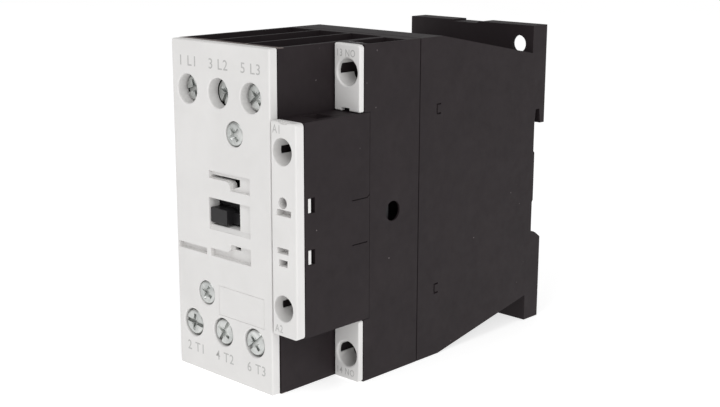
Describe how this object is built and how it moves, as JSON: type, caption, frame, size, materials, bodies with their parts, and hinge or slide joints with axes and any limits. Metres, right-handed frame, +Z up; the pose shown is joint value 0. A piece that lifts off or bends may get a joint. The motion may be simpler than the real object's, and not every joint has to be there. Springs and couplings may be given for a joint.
{
  "type": "din rail contactor",
  "caption": "Block-shaped three-pole contactor: black housing, light covers, recessed terminal screws, side coil and auxiliary terminals, rail hook and sprung armature.",
  "frame": {"origin": "centre of the raised pad that rests against the mounting rail", "axes": "+X to the right seen from the front, front faces -Y, +Y towards the rail and panel, +Z up"},
  "size_m": [0.045, 0.0978, 0.0856],
  "materials": {
    "housing_black": "black moulded thermoplastic, fine matt texture",
    "cover_light": "light grey-white moulded thermoplastic, matt",
    "carrier_black": "black moulded plastic, smooth",
    "zinc_steel": "zinc-plated steel",
    "spring_steel": "spring steel",
    "contact_copper": "copper strip with silver alloy contact faces",
    "lead_brass": "brass strip",
    "magnet_steel": "laminated electrical steel",
    "winding_copper": "enamelled copper wire",
    "bobbin_plastic": "natural glass-filled nylon",
    "buffer_rubber": "black rubber"
  },
  "bodies": {
    "housing": {"base_housing": "housing_black", "contact_housing": "housing_black", "coil_terminal_block": "housing_black", "front_cover": "cover_light", "coil_terminal_cover": "cover_light", "aux_terminal_cover_upper": "cover_light", "aux_terminal_cover_lower": "cover_light", "cover_screw_upper": "zinc_steel", "cover_screw_lower": "zinc_steel", "fixed_contact_l1": "contact_copper", "fixed_contact_l2": "contact_copper", "fixed_contact_l3": "contact_copper", "fixed_contact_t1": "contact_copper", "fixed_contact_t2": "contact_copper", "fixed_contact_t3": "contact_copper", "fixed_contact_aux_13": "contact_copper", "fixed_contact_aux_14": "contact_copper", "fixed_core": "magnet_steel", "shading_ring_upper": "contact_copper", "shading_ring_lower": "contact_copper", "core_buffer": "buffer_rubber", "coil_bobbin": "bobbin_plastic", "coil_winding": "winding_copper", "return_spring_right": "spring_steel", "return_spring_left": "spring_steel", "coil_lead_a1": "lead_brass", "coil_lead_a2": "lead_brass"},
    "carrier": {"contact_carrier": "carrier_black", "moving_armature": "magnet_steel", "armature_pin": "zinc_steel", "contact_spring_1": "spring_steel", "contact_spring_2": "spring_steel", "contact_spring_3": "spring_steel", "contact_spring_aux": "spring_steel"},
    "bridge_1": {"contact_bridge_1": "contact_copper"},
    "bridge_2": {"contact_bridge_2": "contact_copper"},
    "bridge_3": {"contact_bridge_3": "contact_copper"},
    "bridge_aux": {"contact_bridge_aux": "contact_copper"},
    "clamp_l1": {"clamp_l1": "zinc_steel"},
    "screw_l1": {"screw_l1": "zinc_steel"},
    "clamp_l2": {"clamp_l2": "zinc_steel"},
    "screw_l2": {"screw_l2": "zinc_steel"},
    "clamp_l3": {"clamp_l3": "zinc_steel"},
    "screw_l3": {"screw_l3": "zinc_steel"},
    "clamp_t1": {"clamp_t1": "zinc_steel"},
    "screw_t1": {"screw_t1": "zinc_steel"},
    "clamp_t2": {"clamp_t2": "zinc_steel"},
    "screw_t2": {"screw_t2": "zinc_steel"},
    "clamp_t3": {"clamp_t3": "zinc_steel"},
    "screw_t3": {"screw_t3": "zinc_steel"},
    "clamp_aux_13": {"clamp_aux_13": "zinc_steel"},
    "screw_aux_13": {"screw_aux_13": "zinc_steel"},
    "clamp_aux_14": {"clamp_aux_14": "zinc_steel"},
    "screw_aux_14": {"screw_aux_14": "zinc_steel"},
    "clamp_coil_a1": {"clamp_coil_a1": "zinc_steel"},
    "screw_coil_a1": {"screw_coil_a1": "zinc_steel"},
    "clamp_coil_a2": {"clamp_coil_a2": "zinc_steel"},
    "screw_coil_a2": {"screw_coil_a2": "zinc_steel"},
    "rail_latch": {"rail_latch_spring": "spring_steel"}
  },
  "joints": [
    {"name": "carrier_slide", "type": "slide", "parent": "housing", "child": "carrier", "axis": [0, 1, 0], "range_m": [0, 0.0054], "stiffness_N_per_m": 500, "springref_m": -0.008, "deforming": ["return_spring_right", "return_spring_left"]},
    {"name": "bridge_1_slide", "type": "slide", "parent": "carrier", "child": "bridge_1", "axis": [0, 1, 0], "range_m": [-0.00146, 0], "deforming": ["contact_spring_1"]},
    {"name": "bridge_2_slide", "type": "slide", "parent": "carrier", "child": "bridge_2", "axis": [0, 1, 0], "range_m": [-0.00146, 0], "deforming": ["contact_spring_2"]},
    {"name": "bridge_3_slide", "type": "slide", "parent": "carrier", "child": "bridge_3", "axis": [0, 1, 0], "range_m": [-0.00146, 0], "deforming": ["contact_spring_3"]},
    {"name": "bridge_aux_slide", "type": "slide", "parent": "carrier", "child": "bridge_aux", "axis": [0, 1, 0], "range_m": [-0.00146, 0], "deforming": ["contact_spring_aux"]},
    {"name": "clamp_l1_slide", "type": "slide", "parent": "housing", "child": "clamp_l1", "axis": [0, -1, 0], "range_m": [-0.0032, 0.0021]},
    {"name": "screw_l1_turn", "type": "hinge", "parent": "clamp_l1", "child": "screw_l1", "pos_m": [-0.01669, -0.0912, 0.03057], "axis": [0, -1, 0], "range_deg": [-1441, 946]},
    {"name": "clamp_l2_slide", "type": "slide", "parent": "housing", "child": "clamp_l2", "axis": [0, -1, 0], "range_m": [-0.0027, 0.0026]},
    {"name": "screw_l2_turn", "type": "hinge", "parent": "clamp_l2", "child": "screw_l2", "pos_m": [-0.00505, -0.0907, 0.03057], "axis": [0, -1, 0], "range_deg": [-1216, 1171]},
    {"name": "clamp_l3_slide", "type": "slide", "parent": "housing", "child": "clamp_l3", "axis": [0, -1, 0], "range_m": [-0.0036, 0.0017]},
    {"name": "screw_l3_turn", "type": "hinge", "parent": "clamp_l3", "child": "screw_l3", "pos_m": [0.0068, -0.0916, 0.03057], "axis": [0, -1, 0], "range_deg": [-1621, 766]},
    {"name": "clamp_t1_slide", "type": "slide", "parent": "housing", "child": "clamp_t1", "axis": [0, -1, 0], "range_m": [-0.0053, 0]},
    {"name": "screw_t1_turn", "type": "hinge", "parent": "clamp_t1", "child": "screw_t1", "pos_m": [-0.01669, -0.0933, -0.03057], "axis": [0, -1, 0], "range_deg": [-2386, 0]},
    {"name": "clamp_t2_slide", "type": "slide", "parent": "housing", "child": "clamp_t2", "axis": [0, -1, 0], "range_m": [-0.0053, 0]},
    {"name": "screw_t2_turn", "type": "hinge", "parent": "clamp_t2", "child": "screw_t2", "pos_m": [-0.00505, -0.0933, -0.03057], "axis": [0, -1, 0], "range_deg": [-2386, 0]},
    {"name": "clamp_t3_slide", "type": "slide", "parent": "housing", "child": "clamp_t3", "axis": [0, -1, 0], "range_m": [-0.0053, 0]},
    {"name": "screw_t3_turn", "type": "hinge", "parent": "clamp_t3", "child": "screw_t3", "pos_m": [0.0068, -0.0933, -0.03057], "axis": [0, -1, 0], "range_deg": [-2386, 0]},
    {"name": "clamp_aux_13_slide", "type": "slide", "parent": "housing", "child": "clamp_aux_13", "axis": [0, -1, 0], "range_m": [0, 0.0036]},
    {"name": "screw_aux_13_turn", "type": "hinge", "parent": "clamp_aux_13", "child": "screw_aux_13", "pos_m": [0.01824, -0.065, 0.03593], "axis": [0, -1, 0], "range_deg": [0, 2161]},
    {"name": "clamp_aux_14_slide", "type": "slide", "parent": "housing", "child": "clamp_aux_14", "axis": [0, -1, 0], "range_m": [0, 0.0036]},
    {"name": "screw_aux_14_turn", "type": "hinge", "parent": "clamp_aux_14", "child": "screw_aux_14", "pos_m": [0.01824, -0.065, -0.03593], "axis": [0, -1, 0], "range_deg": [0, 2161]},
    {"name": "clamp_coil_a1_slide", "type": "slide", "parent": "housing", "child": "clamp_coil_a1", "axis": [0, -1, 0], "range_m": [0, 0.0045]},
    {"name": "screw_coil_a1_turn", "type": "hinge", "parent": "clamp_coil_a1", "child": "screw_coil_a1", "pos_m": [0.0177, -0.0831, 0.01915], "axis": [0, -1, 0], "range_deg": [0, 2701]},
    {"name": "clamp_coil_a2_slide", "type": "slide", "parent": "housing", "child": "clamp_coil_a2", "axis": [0, -1, 0], "range_m": [0, 0.0045]},
    {"name": "screw_coil_a2_turn", "type": "hinge", "parent": "clamp_coil_a2", "child": "screw_coil_a2", "pos_m": [0.0177, -0.0831, -0.01915], "axis": [0, -1, 0], "range_deg": [0, 2701]},
    {"name": "rail_latch_flex", "type": "slide", "parent": "housing", "child": "rail_latch", "axis": [0, 0, -1], "range_m": [0, 0.0024], "stiffness_N_per_m": 3000, "springref_m": -0.002}
  ],
  "couplings": [
    {"joint": "bridge_1_slide", "follows": "carrier_slide", "ratio": -0.26},
    {"joint": "bridge_2_slide", "follows": "carrier_slide", "ratio": -0.26},
    {"joint": "bridge_3_slide", "follows": "carrier_slide", "ratio": -0.26},
    {"joint": "bridge_aux_slide", "follows": "carrier_slide", "ratio": -0.26},
    {"joint": "screw_l1_turn", "follows": "clamp_l1_slide", "rad_per_m": 7854},
    {"joint": "screw_l2_turn", "follows": "clamp_l2_slide", "rad_per_m": 7854},
    {"joint": "screw_l3_turn", "follows": "clamp_l3_slide", "rad_per_m": 7854},
    {"joint": "screw_t1_turn", "follows": "clamp_t1_slide", "rad_per_m": 7854},
    {"joint": "screw_t2_turn", "follows": "clamp_t2_slide", "rad_per_m": 7854},
    {"joint": "screw_t3_turn", "follows": "clamp_t3_slide", "rad_per_m": 7854},
    {"joint": "screw_aux_13_turn", "follows": "clamp_aux_13_slide", "rad_per_m": 10472},
    {"joint": "screw_aux_14_turn", "follows": "clamp_aux_14_slide", "rad_per_m": 10472},
    {"joint": "screw_coil_a1_turn", "follows": "clamp_coil_a1_slide", "rad_per_m": 10472},
    {"joint": "screw_coil_a2_turn", "follows": "clamp_coil_a2_slide", "rad_per_m": 10472}
  ]
}
